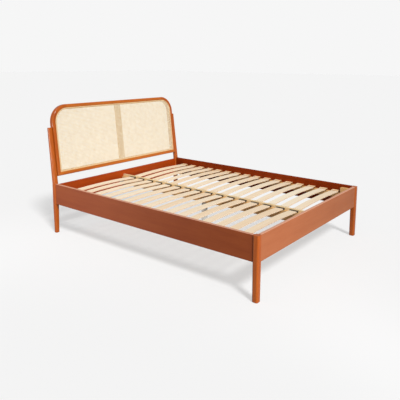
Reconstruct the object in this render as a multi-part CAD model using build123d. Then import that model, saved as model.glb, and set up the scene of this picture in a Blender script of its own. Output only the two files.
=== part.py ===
from build123d import *
import os
from math import cos, radians, sin

os.makedirs("parts", exist_ok=True)

# Double bed frame with a cane headboard, in millimetres.
# +Z is up and the floor is z = 0. The head end faces +Y and the foot end faces -Y.
# The origin is on the floor, at the middle of the whole bed's footprint.

# Side, head and foot boards
frame_width = 1600        # over the outer faces of the side rails
frame_length = 2110       # from the front of the foot legs to the back of the head legs
rail_top = 439            # top of the side and foot rails
rail_underside = 261      # underside of all four rails
head_rail_top = 427       # the board under the headboard is a little lower
rail_thickness = 25
rail_edge = 3.5           # eased long edges of the boards
leg_reveal = 7            # how far a leg stands out past the face of a rail

# Legs
foot_leg_size = 45        # square, at the rails
foot_leg_tip = 43         # square, at the floor
leg_corner = 13           # rounding of the foot legs' corners
head_leg_width = 40       # across the bed, at the rails
head_leg_depth = 41       # along the bed, at the rails
head_leg_tip = 34         # square, at the floor
head_leg_corner = 11
taper_start = 20          # the taper starts this far under the rails
post_width = 35           # head leg at its top, across the bed
post_depth = 33           # head leg at its top, along the bed
post_rise = 489           # from the top of the side rails to the top of the post
leg_ease = 2.5            # chamfer at both ends of every leg
lean = 6.5                # degrees that the headboard leans back
bend_reach = 25           # the post turns into its lean over this much, each way

# Headboard frame, measured in its own leaning plane
hoop_lift = 63            # from the top of the side rails to the frame's lower edge
hoop_height = 618
hoop_face = 30            # width of the wooden face
hoop_depth = 46
hoop_forward = 6          # middle of its depth, ahead of the posts' axis
hoop_corner = 157         # outer radius of the two upper corners
hoop_arris = 8            # rounding of the outer long edges
hoop_inner_arris = 4      # rounding of the inner long edges
ledge_width = 14          # step inside the face that carries the cane
ledge_drop = 6            # the step lies this far behind the face
groove_width = 5
groove_depth = 6
groove_offset = 3         # from the wooden face to the groove
batten_width = 65
batten_thickness = 18
batten_setback = 12       # from the cane to the batten behind it

# Cane panel and the bead that holds it
cane_thickness = 1.2
cane_columns = 12         # the weave's openings, as a plain grid
cane_rows = 5
cane_web = 36             # between two openings of the grid
bead_width = 9
bead_height = 3
bead_round = 1.4
bead_play = 0.1           # between the bead's tongue and the walls of the groove

# Slats and what carries them
slat_count = 16           # in each of the two rows
slat_end_gap = 13         # from a corner block to the cap of the slat beside it
slat_width = 62
slat_thickness = 8
slat_crown = 12           # rise of a slat's middle over its ends
slat_seat = 373           # underside of a slat's end
ledger_width = 35
ledger_height = 45
block_length = 100
block_rise = 6            # from the underside of the rails to the underside of a corner block
foot_block_drop = 22      # from the top of the rails to the top of a foot end block
head_block_drop = 95      # the head end blocks stay out of sight under the slats
beam_width = 60
beam_height = 76
strip_width = 20
strip_height = 20
inner_cap_length = 18     # at the centre strip
outer_cap_length = 38     # at the side rails
cap_wall = 2.5
cap_sole = 3
cap_roof = 2
cap_play = 0.3            # each side of a slat in its cap
cap_end_play = 0.5
cap_head_room = 0.5       # over the bowed slat, at the mouth of its cap
cap_gap = 1               # from a cap to the rail or the strip behind it

# Beam hangers
hanger_steel = 2.5
hanger_tray = 40
hanger_side = 50
hanger_flange = 25
beam_play = 0.3           # each side of the beam in its hanger
beam_end_play = 1

# Centre leg and its levelling foot
centre_leg_size = 40
centre_leg_corner = 5
centre_leg_lift = 20      # from the floor to the wooden leg
foot_pad_radius = 19
foot_pad_height = 7
foot_pad_ease = 1.5
foot_travel = 12
rod_clearance = 0.05      # radial, rod in its nut
rod_relief = 0.5          # radial, rod in the wood above its nut

# Bolts and threaded inserts
bolt_radius = 4
bolt_length = 50
bolt_head_radius = 7
bolt_head_height = 5
bolt_hole_play = 0.3      # radial, bolt in the wood
bolt_tip_play = 2
insert_radius = 6
insert_length = 13
block_bolt_share = 0.6    # of a corner block's height, between its two bolts
headboard_bolt_inset = 80  # from each end of the joint between post and headboard
headboard_bolt_back = 4   # behind the posts' axis

# Places worked out from the sizes above
rail_outer = frame_width / 2
rail_inner = rail_outer - rail_thickness
leg_outer = rail_outer + leg_reveal
hoop_half = leg_outer - head_leg_width
hoop_bottom = hoop_lift
hoop_top = hoop_lift + hoop_height
hoop_rim = hoop_face + ledge_width
hoop_front = -hoop_depth / 2 - hoop_forward
hoop_back = hoop_depth / 2 - hoop_forward
ledge_front = hoop_front + ledge_drop
groove_start = hoop_face + groove_offset
groove_end = groove_start + groove_width

# The headboard's upper back edge reaches furthest behind the legs
back_reach = (
    (hoop_back - hoop_arris) * cos(radians(lean))
    + (hoop_top - hoop_arris) * sin(radians(lean))
    + hoop_arris
    - head_leg_depth / 2
)
whole_length = frame_length + back_reach
foot_front = -whole_length / 2
head_axis = foot_front + frame_length - head_leg_depth / 2
foot_rail_front = foot_front + leg_reveal
foot_rail_back = foot_rail_front + rail_thickness
head_rail_front = head_axis - rail_thickness / 2
side_rail_foot = foot_front + foot_leg_size
side_rail_head = head_axis - head_leg_depth / 2
bed_middle = (foot_rail_back + head_rail_front) / 2

foot_rod_engaged = insert_length   # fully wound out, the rod just fills its nut
cap_bottom = slat_seat - cap_sole
strip_half = strip_width / 2
slat_inner_end = strip_half + cap_gap + cap_wall + cap_end_play
slat_outer_end = rail_inner - cap_gap - cap_wall - cap_end_play
cap_width = slat_width + 2 * (cap_play + cap_wall)
slat_first = foot_rail_back + block_length + slat_end_gap + cap_width / 2
slat_last = head_rail_front - block_length - slat_end_gap - cap_width / 2
slat_pitch = (slat_last - slat_first) / (slat_count - 1)
block_bottom = rail_underside + block_rise
block_tops = {"foot": rail_top - foot_block_drop, "head": rail_top - head_block_drop}

headboard_place = Pos(0, head_axis, rail_top) * Rot(-lean, 0, 0)


def block(x, y, z):
    """A box from its low and high limits along each axis."""
    middle = Pos(sum(x) / 2, sum(y) / 2, sum(z) / 2)
    return middle * Box(x[1] - x[0], y[1] - y[0], z[1] - z[0])


def other_side(shape):
    """The same shape on the far side of the bed."""
    return mirror(shape, about=Plane.YZ)


def rod_along_x(radius, start, end, y, z):
    """A round bar along X between two places."""
    return Pos((start + end) / 2, y, z) * Rot(0, 90, 0) * Cylinder(radius, end - start)


def save(shape, name):
    export_step(shape, f"parts/{name}.step")


# Legs

def leg_section(width, depth, corner, inset=0):
    return RectangleRounded(width - 2 * inset, depth - 2 * inset, corner - inset)


def foot_leg():
    """Near foot leg: rounded square, slightly tapered below the rails."""
    x = -leg_outer + foot_leg_size / 2
    y = foot_front + foot_leg_size / 2
    straight = rail_underside - taper_start
    stations = [
        (0, foot_leg_tip, leg_ease),
        (leg_ease, foot_leg_tip, 0),
        (straight, foot_leg_size, 0),
        (rail_top - leg_ease, foot_leg_size, 0),
        (rail_top, foot_leg_size, leg_ease),
    ]
    sections = [
        Pos(x, y, z) * leg_section(size, size, leg_corner, inset)
        for z, size, inset in stations
    ]
    return loft(sections, ruled=True)


def head_leg():
    """Near head leg: straight and tapered below, leaning back above the rails.

    Its inner face stays flat from the rails up, so that the headboard seats on it.
    """
    inner = -hoop_half
    straight = rail_underside - taper_start
    axis = inner - head_leg_width / 2
    sections = []
    for z, size, inset in (
        (0, head_leg_tip, leg_ease),
        (leg_ease, head_leg_tip, 0),
    ):
        sections.append(Pos(axis, head_axis, z) * leg_section(size, size, head_leg_corner, inset))
    for z in (straight, rail_top - bend_reach):
        section = leg_section(head_leg_width, head_leg_depth, head_leg_corner)
        sections.append(Pos(axis, head_axis, z) * section)
    half_turn = Pos(0, head_axis, rail_top) * Rot(-lean / 2, 0, 0)
    section = leg_section(head_leg_width, head_leg_depth, head_leg_corner)
    sections.append(half_turn * Pos(axis, 0, 0) * section)
    for rise, inset in (
        (bend_reach, 0),
        (post_rise - leg_ease, 0),
        (post_rise, leg_ease),
    ):
        share = rise / post_rise
        width = head_leg_width + (post_width - head_leg_width) * share
        depth = head_leg_depth + (post_depth - head_leg_depth) * share
        middle = inner - width / 2
        section = leg_section(width, depth, head_leg_corner, inset)
        sections.append(headboard_place * Pos(middle, 0, rise) * section)
    return loft(sections, ruled=True)


# Rails

def board_section(height):
    return RectangleRounded(rail_thickness, height, rail_edge)


def side_rail():
    """Near side rail, between the foot leg and the head leg."""
    height = rail_top - rail_underside
    length = side_rail_head - side_rail_foot
    plane = Plane(
        origin=(-(rail_outer + rail_inner) / 2, side_rail_foot, (rail_top + rail_underside) / 2),
        x_dir=(-1, 0, 0),
        z_dir=(0, 1, 0),
    )
    return extrude(plane * board_section(height), length)


def cross_rail(half_length, front, top):
    """A rail across the bed, between two legs."""
    height = top - rail_underside
    plane = Plane(
        origin=(-half_length, front + rail_thickness / 2, (top + rail_underside) / 2),
        x_dir=(0, 1, 0),
        z_dir=(1, 0, 0),
    )
    return extrude(plane * board_section(height), 2 * half_length)


# Headboard, modelled upright in its own frame: x across, y depth, z along the lean

def hoop_section():
    """Section of the headboard frame: x inwards from the outer edge, y through its depth."""
    outline = Polyline(
        (0, hoop_front),
        (hoop_face, hoop_front),
        (hoop_face, ledge_front),
        (groove_start, ledge_front),
        (groove_start, ledge_front + groove_depth),
        (groove_end, ledge_front + groove_depth),
        (groove_end, ledge_front),
        (hoop_rim, ledge_front),
        (hoop_rim, hoop_back),
        (0, hoop_back),
        close=True,
    )
    section = make_face(outline)
    outer = section.vertices().filter_by(lambda v: v.X < 0.01)
    section = fillet(outer, hoop_arris)
    inner = [
        v for v in section.vertices()
        if (abs(v.X - hoop_face) < 0.01 and v.Y < ledge_front - 0.01)
        or (abs(v.X - hoop_rim) < 0.01 and v.Y > ledge_front + 0.01)
    ]
    return fillet(inner, hoop_inner_arris)


def bead_section():
    """Section of the bead: a rounded head over the cane and a tongue in the groove."""
    seat = ledge_front - cane_thickness
    middle = (groove_start + groove_end) / 2
    head = Pos(middle, seat - bead_height / 2) * Rectangle(bead_width, bead_height)
    front = head.vertices().filter_by(lambda v: v.Y < seat - bead_height / 2)
    head = fillet(front, bead_round)
    tongue_width = groove_width - 2 * bead_play
    tongue_height = cane_thickness + groove_depth - bead_play
    tongue = Pos(middle, seat + tongue_height / 2) * Rectangle(tongue_width, tongue_height)
    return head + tongue


def corner_wedge(x, z):
    """A triangular prism over the headboard's depth, used to cut the mitres."""
    points = [(x[i], -hoop_depth, z[i]) for i in range(3)]
    return extrude(make_face(Polyline(*points, close=True)), 2 * hoop_depth, dir=(0, 1, 0))


def ring_pieces(section):
    """Runs a section round the headboard: two stiles, two round corners, top and bottom.

    The lower corners are mitred, and the upper ones are quarter turns.
    """
    spring = hoop_top - hoop_corner
    stile_length = spring - hoop_bottom
    reach = hoop_rim + hoop_arris
    left = -hoop_half

    stile = extrude(Pos(left, 0, hoop_bottom) * section, stile_length, dir=(0, 0, 1))
    under_mitre = corner_wedge(
        (left, left + reach, left + reach), (hoop_bottom, hoop_bottom, hoop_bottom + reach)
    )
    stile = stile - under_mitre

    turn = Axis((left + hoop_corner, 0, spring), (0, 1, 0))
    corner = revolve(Pos(left, 0, spring) * section, axis=turn, revolution_arc=90)

    top_plane = Plane(
        origin=(left + hoop_corner, 0, hoop_top), x_dir=(0, 0, -1), z_dir=(1, 0, 0)
    )
    top = extrude(top_plane * section, 2 * (hoop_half - hoop_corner))

    bottom_plane = Plane(origin=(hoop_half, 0, hoop_bottom), x_dir=(0, 0, 1), z_dir=(-1, 0, 0))
    bottom = extrude(bottom_plane * section, 2 * hoop_half)
    over_mitre = corner_wedge(
        (left, left, left + reach), (hoop_bottom, hoop_bottom + reach, hoop_bottom + reach)
    )
    bottom = bottom - over_mitre - other_side(over_mitre)
    return {
        "stile_left": stile,
        "stile_right": other_side(stile),
        "corner_left": corner,
        "corner_right": other_side(corner),
        "top_rail": top,
        "bottom_rail": bottom,
    }


def cane_panel():
    """The cane sheet, cut to the inner wall of the groove, on the step of the frame.

    Its fine weave is stood for by a plain grid of openings that keep clear of the step.
    """
    half = hoop_half - groove_end
    low = hoop_bottom + groove_end
    high = hoop_top - groove_end
    radius = hoop_corner - groove_end
    plane = Plane(
        origin=(0, ledge_front, (low + high) / 2), x_dir=(1, 0, 0), z_dir=(0, -1, 0)
    )
    sheet = Rectangle(2 * half, high - low)
    sheet = round_upper_corners(sheet, radius)

    open_width = 2 * (hoop_half - hoop_rim)
    open_height = hoop_height - 2 * hoop_rim
    window = Rectangle(open_width - cane_web, open_height - cane_web)
    window = round_upper_corners(window, hoop_corner - hoop_rim - cane_web / 2)
    pitch_x = open_width / cane_columns
    pitch_z = open_height / cane_rows
    opening = Rectangle(pitch_x - cane_web, pitch_z - cane_web)
    places = GridLocations(pitch_x, pitch_z, cane_columns, cane_rows)
    sheet -= [window & (place * opening) for place in places]
    return extrude(plane * sheet, cane_thickness)


def round_upper_corners(sketch, radius):
    return fillet(sketch.vertices().filter_by(lambda v: v.Y > 0), radius)


def batten():
    """Upright behind the middle of the cane, between the frame's top and bottom."""
    front = ledge_front + batten_setback
    return block(
        (-batten_width / 2, batten_width / 2),
        (front, front + batten_thickness),
        (hoop_bottom + hoop_rim, hoop_top - hoop_rim),
    )


def headboard_bolt_places():
    """Heights of the bolts between a post and the headboard, in the leaning frame."""
    return [hoop_bottom + headboard_bolt_inset, post_rise - headboard_bolt_inset]


# Slats and what carries them

def slat(side, row):
    """One sprung slat, bowed upwards between its two ends."""
    chord = (slat_inner_end, slat_outer_end)
    middle = sum(chord) / 2
    low = ThreePointArc(
        (chord[0], slat_seat), (middle, slat_seat + slat_crown), (chord[1], slat_seat)
    )
    high = ThreePointArc(
        (chord[0], slat_seat + slat_thickness),
        (middle, slat_seat + slat_crown + slat_thickness),
        (chord[1], slat_seat + slat_thickness),
    )
    ends = [Line(low @ i, high @ i) for i in (0, 1)]
    outline = make_face([low, ends[1], high, ends[0]])
    y = slat_line(row) + slat_width / 2
    board = Plane(origin=(0, y, 0), x_dir=(1, 0, 0), z_dir=(0, -1, 0)) * outline
    board = extrude(board, slat_width)
    return board if side > 0 else other_side(board)


def slat_line(row):
    """Middle of a slat along the bed, counted from the foot end."""
    return slat_first + row * slat_pitch


def cap(inner, outer, open_end, y):
    """Moulded cap over a slat's end, on the wood below it. open_end is the slat's side."""
    covered = (outer - inner - cap_wall - cap_end_play) / (slat_outer_end - slat_inner_end)
    slat_rise = 4 * slat_crown * covered * (1 - covered)
    roof = slat_seat + slat_thickness + slat_rise + cap_head_room + cap_roof
    half = cap_width / 2
    body = block((inner, outer), (y - half, y + half), (cap_bottom, roof))
    pocket_x = (inner + cap_wall, outer + cap_wall)
    if open_end == "inner":
        pocket_x = (inner - cap_wall, outer - cap_wall)
    pocket = block(
        pocket_x,
        (y - half + cap_wall, y + half - cap_wall),
        (slat_seat, roof - cap_roof),
    )
    return body - pocket


def slat_caps():
    """Every cap: one at each end of each slat, in both rows."""
    caps = []
    for row in range(slat_count):
        y = slat_line(row)
        start = strip_half + cap_gap
        end = rail_inner - cap_gap
        pair = [
            cap(start, start + inner_cap_length, "outer", y),
            cap(end - outer_cap_length, end, "inner", y),
        ]
        caps += pair + [other_side(one) for one in pair]
    return Compound(caps)


def block_span(end):
    """Limits of a corner block along the bed, at the foot or the head end."""
    if end == "foot":
        return (foot_rail_back, foot_rail_back + block_length)
    return (head_rail_front - block_length, head_rail_front)


def block_bolt_heights(end):
    middle = (block_tops[end] + block_bottom) / 2
    reach = block_bolt_share * (block_tops[end] - block_bottom) / 2
    return [middle - reach, middle + reach]


def corner_block(end):
    """Block notched round a leg, drilled for the two bolts that hold the side rail."""
    span = block_span(end)
    height = (block_bottom, block_tops[end])
    solid = block((rail_inner - ledger_width, rail_inner), span, height)
    if end == "foot":
        solid -= block((leg_outer - foot_leg_size, leg_outer), (foot_front, side_rail_foot), height)
    else:
        solid -= block((hoop_half, leg_outer), (side_rail_head, whole_length), height)
    for z in block_bolt_heights(end):
        solid -= rod_along_x(
            bolt_radius + bolt_hole_play,
            rail_inner - ledger_width,
            rail_inner,
            sum(span) / 2,
            z,
        )
    return solid


def ledger():
    """Ledger along a side rail, from one corner block to the other."""
    return block(
        (rail_inner - ledger_width, rail_inner),
        (block_span("foot")[1], block_span("head")[0]),
        (cap_bottom - ledger_height, cap_bottom),
    )


def beam_span():
    play = hanger_steel + beam_end_play
    return (foot_rail_back + play, head_rail_front - play)


def centre_beam():
    half = beam_width / 2
    return block((-half, half), beam_span(), (cap_bottom - beam_height, cap_bottom))


def centre_strip():
    return block(
        (-strip_half, strip_half), beam_span(), (cap_bottom, cap_bottom + strip_height)
    )


def beam_hanger(face, inward):
    """Folded steel hanger on a cross rail. inward is +1 where the bed lies on its +Y side."""
    half = beam_width / 2 + beam_play
    outer = half + hanger_steel
    low = cap_bottom - beam_height - hanger_steel
    high = low + hanger_steel + hanger_side

    def span(start, end):
        return tuple(sorted((face + inward * start, face + inward * end)))

    hanger = block((-outer - hanger_flange, outer + hanger_flange), span(0, hanger_steel), (low, high))
    hanger += block((-outer, outer), span(0, hanger_tray), (low, high))
    hanger -= block((-half, half), span(hanger_steel, 2 * hanger_tray), (low + hanger_steel, 2 * high))
    return hanger


# Centre leg and levelling foot

def centre_leg():
    """Leg under the middle of the beam, drilled for its nut and the foot's rod."""
    top = cap_bottom - beam_height
    leg = extrude(
        Pos(0, bed_middle, centre_leg_lift)
        * RectangleRounded(centre_leg_size, centre_leg_size, centre_leg_corner),
        top - centre_leg_lift,
    )
    nut_hole = upright(insert_radius, centre_leg_lift, centre_leg_lift + insert_length)
    rod_top = centre_leg_lift + foot_rod_engaged + foot_travel + bolt_tip_play
    rod_hole = upright(bolt_radius + rod_relief, centre_leg_lift, rod_top)
    return leg - nut_hole - rod_hole


def upright(radius, low, high):
    """A round bar on the centre leg's axis."""
    return Pos(0, bed_middle, (low + high) / 2) * Cylinder(radius, high - low)


def levelling_foot():
    """Round pad on a threaded rod, which screws up into the centre leg."""
    pad = upright(foot_pad_radius, 0, foot_pad_height)
    pad = chamfer(pad.edges().filter_by(GeomType.CIRCLE), foot_pad_ease)
    return pad + upright(bolt_radius, foot_pad_height, centre_leg_lift + foot_rod_engaged)


# Bolts and inserts

def bolt(seat, y, z):
    """A bolt with its head on the inner side of what it clamps, pointing outwards."""
    head = rod_along_x(bolt_head_radius, seat - bolt_head_height, seat, y, z)
    return head + rod_along_x(bolt_radius, seat, seat + bolt_length, y, z)


def insert(start, y, z):
    """Threaded insert, flush with the face that it is driven into."""
    sleeve = rod_along_x(insert_radius, start, start + insert_length, y, z)
    return sleeve - rod_along_x(bolt_radius + rod_clearance, start, start + insert_length, y, z)


def fastener_places(of_block, of_headboard):
    """Places one fastener at every joint of the far side, and mirrors them all."""
    made = []
    for end in ("foot", "head"):
        for z in block_bolt_heights(end):
            made.append(of_block(sum(block_span(end)) / 2, z))
    for z in headboard_bolt_places():
        made.append(headboard_place * of_headboard(headboard_bolt_back, z))
    return made + [other_side(one) for one in made]


def frame_bolts():
    block_face = rail_inner - ledger_width
    stile_face = hoop_half - hoop_rim
    return Compound(fastener_places(
        lambda y, z: bolt(block_face, y, z),
        lambda y, z: bolt(stile_face, y, z),
    ))


def insert_nuts():
    made = fastener_places(
        lambda y, z: insert(rail_inner, y, z),
        lambda y, z: insert(hoop_half, y, z),
    )
    low, high = centre_leg_lift, centre_leg_lift + insert_length
    leg_nut = upright(insert_radius, low, high) - upright(bolt_radius + rod_clearance, low, high)
    return Compound(made + [leg_nut])


def drilled_side_rail():
    """Near side rail with its blind holes for the inserts and the bolts' tips."""
    rail = side_rail()
    depth = bolt_length - ledger_width + bolt_tip_play
    for end in ("foot", "head"):
        for z in block_bolt_heights(end):
            y = sum(block_span(end)) / 2
            rail -= rod_along_x(insert_radius, -rail_inner - depth, -rail_inner, y, z)
    return rail


def drilled_head_leg():
    """Near head leg with its blind holes for the headboard's inserts."""
    leg = head_leg()
    for z in headboard_bolt_places():
        hole = rod_along_x(
            insert_radius, -hoop_half - insert_length, -hoop_half, headboard_bolt_back, z
        )
        leg -= headboard_place * hole
    return leg


def drilled_stile(stile):
    """Near stile with its bolt holes, in the headboard's own frame."""
    for z in headboard_bolt_places():
        stile -= rod_along_x(
            bolt_radius + bolt_hole_play,
            -hoop_half,
            -hoop_half + hoop_rim,
            headboard_bolt_back,
            z,
        )
    return stile


# Assembly

def main():
    for name, near in (
        ("foot_leg", foot_leg()),
        ("head_leg", drilled_head_leg()),
        ("side_rail", drilled_side_rail()),
        ("side_ledger", other_side(ledger())),
    ):
        save(near, f"{name}_left")
        save(other_side(near), f"{name}_right")

    save(cross_rail(leg_outer - foot_leg_size, foot_rail_front, rail_top), "foot_rail")
    save(cross_rail(hoop_half, head_rail_front, head_rail_top), "head_rail")

    wood = ring_pieces(hoop_section())
    wood["stile_left"] = drilled_stile(wood["stile_left"])
    wood["stile_right"] = other_side(wood["stile_left"])
    for name, piece in wood.items():
        save(headboard_place * piece, f"headboard_{name}")
    save(headboard_place * batten(), "headboard_batten")
    save(headboard_place * cane_panel(), "cane_panel")
    bead = Part() + list(ring_pieces(bead_section()).values())
    save(headboard_place * bead, "cane_bead")

    save(centre_beam(), "centre_beam")
    save(centre_strip(), "centre_strip")
    hangers = [beam_hanger(foot_rail_back, 1), beam_hanger(head_rail_front, -1)]
    save(Compound(hangers), "beam_hangers")
    blocks = [corner_block(end) for end in ("foot", "head")]
    save(Compound(blocks + [other_side(one) for one in blocks]), "corner_blocks")
    save(slat_caps(), "slat_caps")
    for row in range(slat_count):
        save(slat(-1, row), f"slat_left_{row + 1:02d}")
        save(slat(1, row), f"slat_right_{row + 1:02d}")

    save(centre_leg(), "centre_leg")
    save(levelling_foot(), "levelling_foot")
    save(frame_bolts(), "frame_bolts")
    save(insert_nuts(), "insert_nuts")


main()
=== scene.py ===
import math

import bpy
from mathutils import Matrix, Vector


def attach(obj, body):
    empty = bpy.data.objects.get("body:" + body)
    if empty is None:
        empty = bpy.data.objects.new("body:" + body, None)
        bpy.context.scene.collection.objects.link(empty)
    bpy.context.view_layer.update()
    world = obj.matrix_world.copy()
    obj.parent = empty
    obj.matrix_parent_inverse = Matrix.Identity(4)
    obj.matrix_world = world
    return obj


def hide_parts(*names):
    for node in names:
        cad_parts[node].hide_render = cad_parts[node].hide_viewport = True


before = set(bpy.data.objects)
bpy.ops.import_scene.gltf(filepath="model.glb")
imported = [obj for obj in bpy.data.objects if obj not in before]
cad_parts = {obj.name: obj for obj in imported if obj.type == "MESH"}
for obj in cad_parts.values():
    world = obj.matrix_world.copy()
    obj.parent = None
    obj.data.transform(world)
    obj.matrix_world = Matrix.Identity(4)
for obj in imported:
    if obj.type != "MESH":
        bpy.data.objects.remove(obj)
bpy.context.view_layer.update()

# Sizes shared with the solids, in metres. The headboard's are measured before it leans, sideways
# from the middle, back from the posts' axis and up from the top of the rails.
LEAN = math.radians(6.5)
HEAD_AXIS = 0.99819       # the posts' axis, where the lean starts
RAIL_TOP = 0.439
HOOP_HALF = 0.767         # half the headboard's width
HOOP_BOTTOM = 0.063
HOOP_TOP = 0.681
HOOP_CORNER = 0.157       # outer radius
HOOP_RIM = 0.044          # from the outer edge to the opening
LEDGE_FRONT = -0.023      # the step that the cane lies on
GROOVE_MIDDLE = 0.0355    # from the outer edge
BATTEN_BACK = 0.007
POST_RISE = 0.489
SLAT_ROWS = 16
SLAT_PITCH = 0.11676
SLAT_SEAT = 0.373         # underside of a slat's end
SLAT_CROWN = 0.012        # rise of a slat's middle
SLAT_THICKNESS = 0.008
SLAT_MIDDLE = 0.3925      # from the middle of the bed
SLAT_REACH = 0.3785       # half a slat's length
SLAT_LAYERS = 5
GAP_AT_FOOT = 8.3         # pitches from the origin to the gap before the first slat
LEDGER_FACE = 0.74        # inner faces of the ledgers and the corner blocks
FOOT_BLOCKS = -1.00931    # middles of the corner blocks' length
HEAD_BLOCKS = 0.93569


# Finishes

# How the figure of the wood is scaled when it runs along each axis
GRAIN = {"X": (0.06, 1, 1), "Y": (1, 0.06, 1), "Z": (1, 1, 0.06)}


class Value:
    """A number, colour or shader from a node. Sums written with it add Math nodes."""

    def __init__(self, nodes, socket):
        self.nodes = nodes
        self.socket = socket

    def math(self, operation, *others):
        return self.nodes.node("Math", {"operation": operation}, dict(enumerate((self,) + others)))

    def __add__(self, other):
        return self.math("ADD", other)

    def __sub__(self, other):
        return self.math("SUBTRACT", other)

    def __rsub__(self, other):
        return self.nodes.node("Math", {"operation": "SUBTRACT"}, {0: other, 1: self})

    def __mul__(self, other):
        return self.math("MULTIPLY", other)

    def __truediv__(self, other):
        return self.math("DIVIDE", other)

    __radd__ = __add__
    __rmul__ = __mul__

    def clamped(self, low, high):
        return self.math("MAXIMUM", low).math("MINIMUM", high)


class Nodes:
    """The nodes of a material or of the room's light."""

    def __init__(self, tree):
        self.tree = tree

    def node(self, kind, settings=None, sockets=None, output=0):
        made = self.tree.nodes.new("ShaderNode" + kind)
        for key, value in (settings or {}).items():
            setattr(made, key, value)
        for key, value in (sockets or {}).items():
            self.feed(made.inputs[key], value)
        return Value(self, made.outputs[output])

    def feed(self, socket, value):
        if isinstance(value, Value):
            self.tree.links.new(value.socket, socket)
        elif socket.type == "RGBA":
            socket.default_value = (*value, 1)
        else:
            socket.default_value = value


class Finish(Nodes):
    """One surface finish."""

    def __init__(self, name):
        self.material = bpy.data.materials.new(name)
        self.material.use_nodes = True
        super().__init__(self.material.node_tree)
        self.shader = self.tree.nodes["Principled BSDF"]
        self.place = self.node("TexCoord", output="Object")

    def set(self, **parts):
        for name, value in parts.items():
            self.feed(self.shader.inputs[name.replace("_", " ")], value)

    def stretched(self, along):
        """Places on the object, drawn out along the axis of the grain."""
        return self.node("Mapping", None, {"Vector": self.place, "Scale": GRAIN[along]})

    def axis(self, letter, vector=None):
        """One coordinate of a vector, or of the place on the object."""
        return self.node("SeparateXYZ", None, {0: vector or self.place}, output=letter)

    def facing(self, letter):
        """How far a face is turned along an axis, from -1 to 1."""
        return self.axis(letter, self.node("NewGeometry", output="Normal"))

    def noise(self, vector, scale, detail=3, roughness=0.5, distortion=0):
        sockets = {"Vector": vector, "Scale": scale, "Detail": detail}
        sockets.update({"Roughness": roughness, "Distortion": distortion})
        return self.node("TexNoise", None, sockets)

    def mix(self, amount, first, second):
        sockets = {"Factor": amount, 6: first, 7: second}
        return self.node("Mix", {"data_type": "RGBA"}, sockets, output=2)

    def bump(self, height, depth, strength):
        sockets = {"Height": height, "Distance": depth, "Strength": strength}
        return self.node("Bump", None, sockets, output="Normal")


def srgb(red, green, blue):
    """A colour read as 0 to 255 on screen, as the numbers that a shader takes."""
    linear = []
    for part in (red, green, blue):
        part /= 255
        linear.append(part / 12.92 if part < 0.04045 else ((part + 0.055) / 1.055) ** 2.4)
    return tuple(linear)


def stained_wood(name, base, dark, along, rough, streaks, coat=0.0, painted_highlight=None, shine=0.25):
    """Close-grained wood under a coloured stain. along is the axis of the grain.

    The optional pale colour is painted on the upward faces: a painted highlight that stands in for
    the reflection of the bright room on the tops.
    """
    finish = Finish(name)
    length = finish.stretched(along)
    figure = finish.noise(length, 22, 4, 0.6, 0.6)
    fine = finish.noise(length, 190, 3, 0.6)
    cloud = finish.noise(finish.place, 3.5, 2)
    mark = (figure - 0.5) * 2.2 * streaks + (fine - 0.5) * 1.3 * streaks
    mark = mark + (cloud - 0.5) * 0.5 + 0.5
    colour = finish.mix(mark.clamped(0, 1), dark, base)
    # Painted highlight: upward faces turn towards the pale colour.
    if painted_highlight:
        colour = finish.mix((finish.facing("Z") * 2 - 1).clamped(0, 0.7), colour, painted_highlight)
    pore = finish.noise(length, 520, 2, 0.6)
    finish.set(
        Base_Color=colour,
        Roughness=(fine * 0.16 + (rough - 0.08)).clamped(0.05, 1),
        Normal=finish.bump(pore * 0.3 + fine * 0.5, 0.0004, 0.4),
    )
    finish.set(Coat_Weight=coat, Coat_Roughness=0.18, Specular_IOR_Level=shine)
    return finish.material


def bare_wood(name, pale, dark, along, rough, streaks):
    """Unfinished softwood or veneer with long soft rings."""
    finish = Finish(name)
    length = finish.stretched(along)
    wander = finish.noise(length, 5, 3, 0.5, 0.8)
    ring = finish.noise(length, 26, 5, 0.55, 1.2)
    fine = finish.noise(length, 240, 3, 0.6)
    mark = (ring - 0.5) * 1.7 * streaks + (wander - 0.5) * 1.1 * streaks
    mark = mark + (fine - 0.5) * 0.7 * streaks + 0.62
    colour = finish.mix(mark.clamped(0, 1), dark, pale)
    finish.set(
        Base_Color=colour,
        Roughness=(fine * 0.2 + (rough - 0.1)).clamped(0.05, 1),
        Normal=finish.bump(fine, 0.0003, 0.4),
    )
    return finish.material


def paint(nodes, material):
    """Gives CAD nodes their finish."""
    for name in nodes:
        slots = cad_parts[name].data.materials
        slots.clear()
        slots.append(material)


upright_wood = stained_wood(
    "satin_stain_upright", srgb(194, 99, 24), srgb(148, 61, 6), "Z", 0.32, 0.6, 0.5
)
across_wood = stained_wood(
    "satin_stain_across", srgb(206, 116, 36), srgb(160, 74, 12), "X", 0.32, 0.6, 0.5
)
# Painted highlight for the rails' upward faces, the pale reflection of the room.
pale_top_highlight = srgb(216, 166, 140)
# Lit and shaded copies of one matt stain. The side rail's copy is darker, painted shade for a face
# turned from the key light. The far side rail's copy is darker still, painted shade for its inner
# face. The foot rail's copy is paler, painted light for the face that the key light falls on.
side_board_painted_shade = stained_wood(
    "matt_stain_lengthwise_painted_shade", srgb(154, 76, 35), srgb(130, 56, 22), "Y", 0.5, 0.5, painted_highlight=pale_top_highlight
)
far_board_painted_shade = stained_wood(
    "matt_stain_far_side_painted_shade", srgb(138, 51, 7), srgb(108, 34, 3), "Y", 0.6, 0.5, shine=0.05
)
cross_board_painted_light = stained_wood(
    "matt_stain_across_painted_light", srgb(180, 110, 72), srgb(156, 86, 50), "X", 0.5, 0.4, painted_highlight=pale_top_highlight
)
head_board = stained_wood("matt_stain_head", srgb(184, 72, 8), srgb(142, 48, 3), "X", 0.5, 0.5)
pine_pale, pine_dark = srgb(226, 184, 122), srgb(190, 132, 68)
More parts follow.
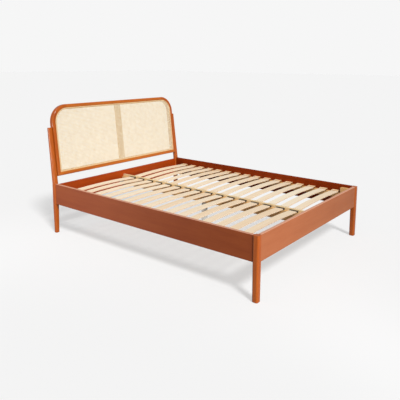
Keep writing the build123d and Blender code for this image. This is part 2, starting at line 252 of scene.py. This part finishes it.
pine_long = bare_wood("pine_lengthwise", pine_pale, pine_dark, "Y", 0.55, 0.8)
pine_up = bare_wood("pine_upright", pine_pale, pine_dark, "Z", 0.55, 0.8)
strip_pine = bare_wood("pale_strip", srgb(240, 214, 168), srgb(220, 184, 128), "Y", 0.5, 0.6)
pale_paint = stained_wood("pale_paint", srgb(232, 230, 224), srgb(222, 219, 212), "Z", 0.5, 0.2)
batten_wood = bare_wood("batten_wood", srgb(210, 146, 64), srgb(182, 114, 42), "Z", 0.5, 0.5)
reed = bare_wood("split_reed", srgb(230, 200, 152), srgb(208, 170, 116), "X", 0.5, 0.4)


def slat_finish():
    """Birch veneer, a slightly different tone on each slat, with its plies on the long edges."""
    finish = Finish("birch_veneer")
    x, y = finish.axis("X"), finish.axis("Y")
    length = finish.stretched("X")
    ring = finish.noise(length, 26, 5, 0.55, 1.2)
    fine = finish.noise(length, 240, 3, 0.6)
    row = ((y + SLAT_PITCH * GAP_AT_FOOT) / SLAT_PITCH).math("FLOOR")
    slat_number = finish.node("CombineXYZ", None, {"X": row, "Y": x.math("SIGN")})
    tone = finish.node("TexWhiteNoise", {"noise_dimensions": "3D"}, {"Vector": slat_number})
    mark = (ring - 0.5) * 0.8 + (fine - 0.5) * 0.35 + (tone - 0.5) * 0.5 + 0.6
    face = finish.mix(mark.clamped(0, 1), srgb(229, 196, 156), srgb(240, 228, 205))
    along = (x.math("ABSOLUTE") - SLAT_MIDDLE) / SLAT_REACH
    height = finish.axis("Z") - SLAT_SEAT - (1 - along * along) * SLAT_CROWN
    ply = ((height * (SLAT_LAYERS / SLAT_THICKNESS)).math("FLOOR") * 0.5).math("FRACT") * 2
    edge = finish.mix(ply, srgb(255, 238, 214), srgb(226, 186, 140))
    on_edge = (finish.facing("Y").math("ABSOLUTE") * 2 - 1).clamped(0, 1)
    finish.set(
        Base_Color=finish.mix(on_edge, face, edge),
        Roughness=fine * 0.2 + 0.35,
        Normal=finish.bump(fine, 0.0003, 0.4),
    )
    finish.set(Specular_IOR_Level=0.3)
    return finish.material


slat_veneer = slat_finish()


def moulded_plastic():
    """The slats' caps: black at the middle of the bed, where the black also stands in for the shade
    in the gaps at the slats' ends; beige at the side rails, with painted shade on their sides.
    """
    finish = Finish("moulded_plastic")
    speck = finish.noise(finish.place, 900, 2)
    # Black caps, whose colour also stands in for the shade in the gaps at the slats' middle ends.
    black = finish.mix(speck, srgb(30, 22, 14), srgb(52, 40, 30))
    beige = finish.mix(speck, srgb(236, 200, 150), srgb(250, 220, 176))
    outer = finish.axis("X").math("ABSOLUTE").math("GREATER_THAN", SLAT_MIDDLE)
    # Painted shade: the beige caps turn brown on their sides, which face away from the light from
    # above.
    shaded = finish.mix((finish.facing("Z") * 2).clamped(0, 1), srgb(128, 80, 38), beige)
    finish.set(
        Base_Color=finish.mix(outer, black, shaded),
        Roughness=speck * 0.2 + 0.4,
        Normal=finish.bump(speck, 0.0002, 0.3),
    )
    return finish.material


def zinc_plate():
    finish = Finish("zinc_plate")
    cloud = finish.noise(finish.place, 60, 4)
    finish.set(
        Base_Color=finish.mix(cloud, srgb(176, 178, 180), srgb(206, 206, 202)),
        Roughness=cloud * 0.25 + 0.25,
    )
    finish.set(Metallic=1.0)
    return finish.material


plastic, zinc = moulded_plastic(), zinc_plate()
sides = ("left", "right")
paint([f"{end}_leg_{side}" for end in ("head", "foot") for side in sides], upright_wood)
paint(["side_rail_left"], side_board_painted_shade)
paint(["side_rail_right"], far_board_painted_shade)
paint(["foot_rail"], cross_board_painted_light)
paint(["head_rail"], head_board)
paint([f"headboard_stile_{side}" for side in sides], upright_wood)
paint([f"headboard_corner_{side}" for side in sides], upright_wood)
paint(["headboard_top_rail", "headboard_bottom_rail"], across_wood)
paint(["headboard_batten"], batten_wood)
paint(["cane_bead"], reed)
paint([f"side_ledger_{side}" for side in sides] + ["centre_beam"], pine_long)
paint(["corner_blocks"], pine_up)
paint(["centre_leg"], pale_paint)
paint(["centre_strip"], strip_pine)
rows = range(1, SLAT_ROWS + 1)
paint([f"slat_{side}_{row:02d}" for side in sides for row in rows], slat_veneer)
paint(["slat_caps"], plastic)
paint(["beam_hangers", "frame_bolts", "insert_nuts", "levelling_foot"], zinc)


# Pieces that only the looks need

HEADBOARD_PLACE = Matrix.Translation((0, HEAD_AXIS, RAIL_TOP)) @ Matrix.Rotation(-LEAN, 4, "X")


def start_fresh():
    bpy.ops.object.select_all(action="DESELECT")


def edit(piece):
    """Opens a piece for editing with nothing selected."""
    bpy.context.view_layer.objects.active = piece
    bpy.ops.object.mode_set(mode="EDIT")
    bpy.ops.mesh.select_all(action="DESELECT")
    bpy.ops.object.mode_set(mode="OBJECT")


def shift_points(piece, chosen, by):
    """Moves the chosen points of a piece."""
    edit(piece)
    for point in piece.data.vertices:
        point.select = chosen(point.co)
    bpy.ops.object.mode_set(mode="EDIT")
    bpy.ops.transform.translate(value=by)
    bpy.ops.object.mode_set(mode="OBJECT")


def settle(piece):
    """Puts a piece's place, turn and size into its mesh."""
    start_fresh()
    piece.select_set(True)
    bpy.context.view_layer.objects.active = piece
    bpy.ops.object.transform_apply(location=True, rotation=True, scale=True)


def finish_modifiers(piece):
    bpy.context.view_layer.objects.active = piece
    for name in [modifier.name for modifier in piece.modifiers]:
        bpy.ops.object.modifier_apply(modifier=name)


def ride_along(piece, material):
    piece.data.materials.clear()
    piece.data.materials.append(material)
    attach(piece, "bed_frame")


# Woven cane: upright and level strands in pairs, with slanted strands between the pairs

CANE_PITCH = 0.0127       # one repeat of the weave
CANE_STEP = CANE_PITCH / 3
CANE_WIDTH = 0.0024
SLANT_WIDTH = 0.0021
CANE_CROWN = 0.0002
PAIR_LIFT = 0.00035       # how far a strand of a pair rises over the one that it crosses
SLANT_LIFT = 0.0006
CANE_SEAT = 0.0008        # from the step to the middle of the weave
MERGE_REACH = 0.00005     # strands that meet closer than this are joined
CANE_COLUMNS = 116
CANE_ROWS = 44
CANE_QUARTERS = 4
CORNER_CUTS = 8           # straight cuts that round an upper corner


def cane_finish():
    finish = Finish("woven_cane")
    tone = finish.noise(finish.place, 30, 3)
    fine = finish.noise(finish.place, 700, 2)
    mark = (tone - 0.5) * 1.2 + (fine - 0.5) * 0.8 + 0.6
    finish.set(
        Base_Color=finish.mix(mark.clamped(0, 1), srgb(218, 194, 152), srgb(240, 226, 196)),
        Roughness=fine * 0.2 + 0.35,
    )
    return finish.material


def strand(length, width, weave, angle, middle):
    """One flat, slightly crowned strand across a cell.

    weave lifts its four rows of points to the front or back.
    """
    start_fresh()
    bpy.ops.mesh.primitive_grid_add(x_subdivisions=2, y_subdivisions=3, size=1)
    piece = bpy.context.object
    piece.scale = (width, length, 1)
    settle(piece)
    shift_points(piece, lambda co: abs(co.x) < width / 4, (0, 0, CANE_CROWN))
    for row, lift in enumerate(weave):
        if lift:
            shift_points(piece, lambda co: round((co.y / length + 0.5) * 3) == row, (0, 0, lift))
    piece.rotation_euler = (math.pi / 2, angle, 0)
    piece.location = (middle[0], 0, middle[1])
    settle(piece)
    return piece


def cane_cell():
    """One repeat of the weave, upright, with its front towards -Y."""
    quarter = CANE_PITCH / 4
    strands = []
    for side in (-1, 1):
        weave = (0, side * PAIR_LIFT, -side * PAIR_LIFT, 0)
        offset = side * CANE_STEP / 2
        strands.append(strand(CANE_PITCH, CANE_WIDTH, weave, 0, (offset, 0)))
        strands.append(strand(CANE_PITCH, CANE_WIDTH, weave, math.pi / 2, (0, -offset)))
    over = (SLANT_LIFT, SLANT_LIFT, -SLANT_LIFT, -SLANT_LIFT)
    under = tuple(-lift for lift in over)
    for angle, x, z, weave in (
        (-math.pi / 4, quarter, quarter, over),
        (-math.pi / 4, -quarter, -quarter, under),
        (math.pi / 4, quarter, -quarter, over),
        (math.pi / 4, -quarter, quarter, under),
    ):
        strands.append(strand(CANE_PITCH / math.sqrt(2), SLANT_WIDTH, weave, angle, (x, z)))
    start_fresh()
    for piece in strands:
        piece.select_set(True)
    bpy.context.view_layer.objects.active = strands[0]
    bpy.ops.object.join()
    return strands[0]


def trim(piece, place, outwards):
    """Cuts away what lies beyond a plane."""
    edit(piece)
    bpy.ops.object.mode_set(mode="EDIT")
    bpy.ops.mesh.select_all(action="SELECT")
    bpy.ops.mesh.bisect(plane_co=place, plane_no=outwards, clear_outer=True)
    bpy.ops.object.mode_set(mode="OBJECT")


def cane_quarter(cell, number, material):
    """A quarter of the panel's width, cut to the middle of the bead that holds it."""
    start_fresh()
    cell.select_set(True)
    bpy.context.view_layer.objects.active = cell
    bpy.ops.object.duplicate()
    piece = bpy.context.object
    piece.name = f"woven_cane_{number + 1}"
    columns = CANE_COLUMNS // CANE_QUARTERS
    for count, offset in ((columns, (CANE_PITCH, 0, 0)), (CANE_ROWS, (0, 0, CANE_PITCH))):
        rows = piece.modifiers.new("repeat", "ARRAY")
        rows.count = count
        rows.use_relative_offset = False
        rows.use_constant_offset = True
        rows.constant_offset_displace = offset
        rows.use_merge_vertices = True
        rows.merge_threshold = MERGE_REACH
    finish_modifiers(piece)
    half = HOOP_HALF - GROOVE_MIDDLE
    low, high = HOOP_BOTTOM + GROOVE_MIDDLE, HOOP_TOP - GROOVE_MIDDLE
    piece.location = (
        (number * columns - (CANE_COLUMNS - 1) / 2) * CANE_PITCH,
        LEDGE_FRONT - CANE_SEAT,
        (low + high - (CANE_ROWS - 1) * CANE_PITCH) / 2,
    )
    settle(piece)
    trim(piece, (0, 0, low), (0, 0, -1))
    trim(piece, (0, 0, high), (0, 0, 1))
    if number in (0, CANE_QUARTERS - 1):
        side = -1 if number == 0 else 1
        trim(piece, (side * half, 0, 0), (side, 0, 0))
        radius = HOOP_CORNER - GROOVE_MIDDLE
        for cut in range(CORNER_CUTS):
            angle = math.radians(90 / CORNER_CUTS * (cut + 0.5))
            outwards = Vector((side * math.cos(angle), 0, math.sin(angle)))
            middle = Vector((side * (half - radius), 0, high - radius))
            trim(piece, middle + outwards * radius, outwards)
    piece.matrix_world = HEADBOARD_PLACE
    settle(piece)
    bpy.ops.object.shade_smooth()
    ride_along(piece, material)
    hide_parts("cane_panel")


def woven_panel():
    material = cane_finish()
    cell = cane_cell()
    for number in range(CANE_QUARTERS):
        cane_quarter(cell, number, material)
    bpy.data.objects.remove(cell)


woven_panel()


# Screws, and the socket heads of the bolts

HEAD_HEIGHT = 0.0006
RECESS_DEPTH = 0.0005
HEAD_SIDES = 24
SOCKET_RADIUS = 0.0072
SOCKET_OPENING = 0.0038
SOCKET_CORNERS = 6
SCREW_RADIUS = 0.0042
SCREW_OPENING = 0.0022
SCREW_CORNERS = 4
BOLT_FACE = 0.0052                      # from the wood to the face of a bolt's head
SCREW_FACE = 0.0001
BLOCK_BOLTS = (                         # place along the bed, height
    (FOOT_BLOCKS, 0.297),
    (FOOT_BLOCKS, 0.387),
    (HEAD_BLOCKS, 0.2824),
    (HEAD_BLOCKS, 0.3286),
)
HEADBOARD_BOLTS = (HOOP_BOTTOM + 0.08, POST_RISE - 0.08)
HEADBOARD_BOLT_BACK = 0.004
LEDGER_SCREWS = [-0.86 + 0.2745 * number for number in range(7)]    # places along the bed
LEDGER_SCREW_HEIGHT = 0.3475
BATTEN_MIDDLE = (HOOP_BOTTOM + HOOP_TOP) / 2
BATTEN_SCREW_REACH = 0.235              # up and down from the batten's middle
BATTEN_SCREW_ASIDE = 0.02


def head_with_recess(radius, corners, recess):
    """A round head on the origin facing +Z, with a recess in its top."""
    start_fresh()
    bpy.ops.mesh.primitive_cylinder_add(
        vertices=HEAD_SIDES,
        radius=radius,
        depth=HEAD_HEIGHT,
        end_fill_type="NOTHING",
        location=(0, 0, HEAD_HEIGHT / 2),
    )
    wall = bpy.context.object
    settle(wall)
    start_fresh()
    bpy.ops.mesh.primitive_circle_add(
        vertices=corners,
        radius=recess,
        fill_type="NGON",
        location=(0, 0, HEAD_HEIGHT - RECESS_DEPTH),
    )
    bottom = bpy.context.object
    settle(bottom)
    bpy.ops.object.mode_set(mode="EDIT")
    bpy.ops.mesh.select_all(action="SELECT")
    bpy.ops.mesh.extrude_edges_move(TRANSFORM_OT_translate={"value": (0, 0, RECESS_DEPTH)})
    bpy.ops.object.mode_set(mode="OBJECT")
    start_fresh()
    wall.select_set(True)
    bottom.select_set(True)
    bpy.context.view_layer.objects.active = wall
    bpy.ops.object.join()
    edit(wall)
    near_top = HEAD_HEIGHT - RECESS_DEPTH / 4
    for edge in wall.data.edges:
        edge.select = all(wall.data.vertices[index].co.z > near_top for index in edge.vertices)
    bpy.ops.object.mode_set(mode="EDIT")
    bpy.ops.mesh.bridge_edge_loops()
    bpy.ops.mesh.select_all(action="SELECT")
    bpy.ops.mesh.normals_make_consistent(inside=False)
    bpy.ops.object.mode_set(mode="OBJECT")
    return wall


def set_heads(name, head, places):
    """Copies one head to every place, as one piece. A place is a point and the way it faces."""
    copies = []
    for point, facing in places:
        start_fresh()
        head.select_set(True)
        bpy.context.view_layer.objects.active = head
        bpy.ops.object.duplicate()
        one = bpy.context.object
        one.rotation_euler = Vector(facing).to_track_quat("Z", "Y").to_euler()
        one.location = point
        settle(one)
        copies.append(one)
    start_fresh()
    for one in copies:
        one.select_set(True)
    bpy.context.view_layer.objects.active = copies[0]
    bpy.ops.object.join()
    copies[0].name = name
    bpy.data.objects.remove(head)
    ride_along(copies[0], zinc)


def fasteners():
    bolts, screws = [], []
    for side in (-1, 1):
        inwards = (-side, 0, 0)
        for y, z in BLOCK_BOLTS:
            bolts.append(((side * (LEDGER_FACE - BOLT_FACE), y, z), inwards))
        for rise in HEADBOARD_BOLTS:
            place = Vector((side * (HOOP_HALF - HOOP_RIM - BOLT_FACE), HEADBOARD_BOLT_BACK, rise))
            bolts.append((HEADBOARD_PLACE @ place, inwards))
        for y in LEDGER_SCREWS:
            screws.append(((side * (LEDGER_FACE - SCREW_FACE), y, LEDGER_SCREW_HEIGHT), inwards))
        for x in (-BATTEN_SCREW_ASIDE, BATTEN_SCREW_ASIDE):
            rise = BATTEN_MIDDLE + side * BATTEN_SCREW_REACH
            place = Vector((x, BATTEN_BACK + SCREW_FACE, rise))
            screws.append((HEADBOARD_PLACE @ place, (0, 1, 0)))
    socket_head = head_with_recess(SOCKET_RADIUS, SOCKET_CORNERS, SOCKET_OPENING)
    set_heads("bolt_sockets", socket_head, bolts)
    screw_head = head_with_recess(SCREW_RADIUS, SCREW_CORNERS, SCREW_OPENING)
    set_heads("wood_screws", screw_head, screws)


fasteners()


# Floor, light and camera

WHITE, BLACK = (1, 1, 1), (0, 0, 0)
BACKDROP = (0.922, 0.922, 0.922)
FLOOR_SIZE = 120
FLOOR_BOUNCE = (0.38, 0.375, 0.37)    # the floor's colour for light that falls back on the bed
FLOOR_SHADED = (0.36, 0.36, 0.36)     # the part of its seen colour that a shadow darkens
FLOOR_GLOW = (0.518, 0.518, 0.518)    # the part that stays
WORLD_STRENGTH = 0.3
KEY_STRENGTH = 3.4
KEY_SPREAD = 11                       # degrees across, which softens the shadows' edges
KEY_TOWARDS = (0.42, 0.88, -1.0)

# The photograph's camera, in degrees and metres, with its focal length and middle in pixels
CAMERA_PLACE = (-3.2969, -2.6238, 1.4939)
CAMERA_HEADING = 52.3188
CAMERA_PITCH = 8.3313
CAMERA_ROLL = 0.4125
FOCAL_LENGTH = 495.19
PHOTO_MIDDLE = (208.78, 134.66)
PHOTO_SIZE = 400
SENSOR_WIDTH = 36


def floor_finish():
    """Lit like any floor, but to the camera it is near white and keeps only part of each shadow."""
    finish = Finish("pale_floor")
    seen = finish.node("LightPath", output="Is Camera Ray")
    finish.set(
        Base_Color=finish.mix(seen, FLOOR_BOUNCE, FLOOR_SHADED),
        Emission_Color=finish.mix(seen, BLACK, FLOOR_GLOW),
    )
    finish.set(Emission_Strength=1.0, Roughness=1.0, Specular_IOR_Level=0.0)
    return finish.material


def soft_lamp(name, place, aim, size, power, spread):
    bpy.ops.object.light_add(type="AREA", location=place)
    lamp = bpy.context.object
    lamp.name = name
    lamp.data.size = size
    lamp.data.energy = power
    lamp.data.spread = math.radians(spread)
    lamp.rotation_euler = (Vector(aim) - Vector(place)).to_track_quat("-Z", "Y").to_euler()


def room_light():
    """Even light from all round, and a near-white backdrop where the camera sees past the floor."""
    world = bpy.data.worlds.new("soft_room")
    bpy.context.scene.world = world
    world.use_nodes = True
    nodes = Nodes(world.node_tree)
    nodes.tree.nodes.remove(nodes.tree.nodes["Background"])
    seen = nodes.node("LightPath", output="Is Camera Ray")
    seen = seen.math("MAXIMUM", nodes.node("LightPath", output="Is Transmission Ray"))
    plain = nodes.node("Background", None, {"Color": WHITE, "Strength": WORLD_STRENGTH})
    backdrop = nodes.node("Background", None, {"Color": BACKDROP})
    choice = nodes.node("MixShader", None, {0: seen, 1: plain, 2: backdrop})
    nodes.feed(nodes.tree.nodes["World Output"].inputs["Surface"], choice)


def studio():
    start_fresh()
    bpy.ops.mesh.primitive_plane_add(size=FLOOR_SIZE)
    floor = bpy.context.object
    floor.name = "floor"
    floor.data.materials.append(floor_finish())

    bpy.ops.object.light_add(type="SUN")
    key = bpy.context.object
    key.name = "key_light"
    key.data.energy = KEY_STRENGTH
    key.data.angle = math.radians(KEY_SPREAD)
    key.rotation_euler = Vector(KEY_TOWARDS).to_track_quat("-Z", "Y").to_euler()
    soft_lamp("side_light", (-3.8, 2.2, 0.6), (-0.8, 0.75, 0.37), 0.8, 4.2, 45)
    soft_lamp("corner_light", (-1.3, -3.3, 0.5), (-0.5, -1.1, 0.37), 0.6, 2.2, 50)


def photo_camera():
    bpy.ops.object.camera_add()
    camera = bpy.context.object
    turn = Matrix.Rotation(-math.radians(CAMERA_HEADING), 4, "Z")
    turn = turn @ Matrix.Rotation(math.pi / 2 - math.radians(CAMERA_PITCH), 4, "X")
    turn = turn @ Matrix.Rotation(math.radians(CAMERA_ROLL), 4, "Z")
    camera.matrix_world = Matrix.Translation(CAMERA_PLACE) @ turn
    camera.data.sensor_width = SENSOR_WIDTH
    camera.data.lens = FOCAL_LENGTH / PHOTO_SIZE * SENSOR_WIDTH
    camera.data.shift_x = 0.5 - PHOTO_MIDDLE[0] / PHOTO_SIZE
    camera.data.shift_y = PHOTO_MIDDLE[1] / PHOTO_SIZE - 0.5
    bpy.context.scene.camera = camera


room_light()
studio()
photo_camera()
bpy.context.scene.view_settings.view_transform = "Standard"
